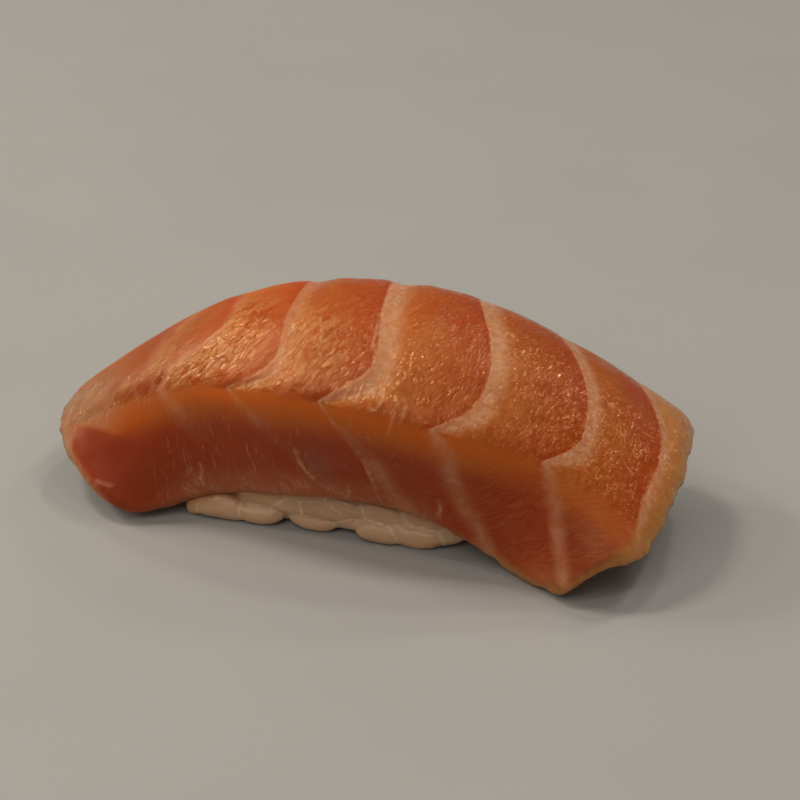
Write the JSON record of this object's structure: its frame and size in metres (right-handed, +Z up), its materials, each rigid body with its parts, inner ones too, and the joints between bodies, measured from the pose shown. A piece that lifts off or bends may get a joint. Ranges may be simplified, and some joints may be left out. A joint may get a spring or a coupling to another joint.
{
  "type": "salmon nigiri sushi",
  "caption": "Piece of nigiri sushi: a slice of raw salmon draped lengthwise over a pressed loaf of rice, lying on its flat base.",
  "frame": {"origin": "under the middle of the whole piece, on the surface that it lies on", "axes": "+X along the slice towards its thin flared end, +Y towards the back edge of the slice, +Z up"},
  "size_m": [0.0748, 0.0289, 0.0265],
  "materials": {
    "salmon_flesh": "moist raw salmon with pale fat lines",
    "cooked_rice": "sticky cooked short-grain rice"
  },
  "bodies": {
    "root": {"rice": "cooked_rice", "salmon_slice": "salmon_flesh"}
  },
  "joints": []
}
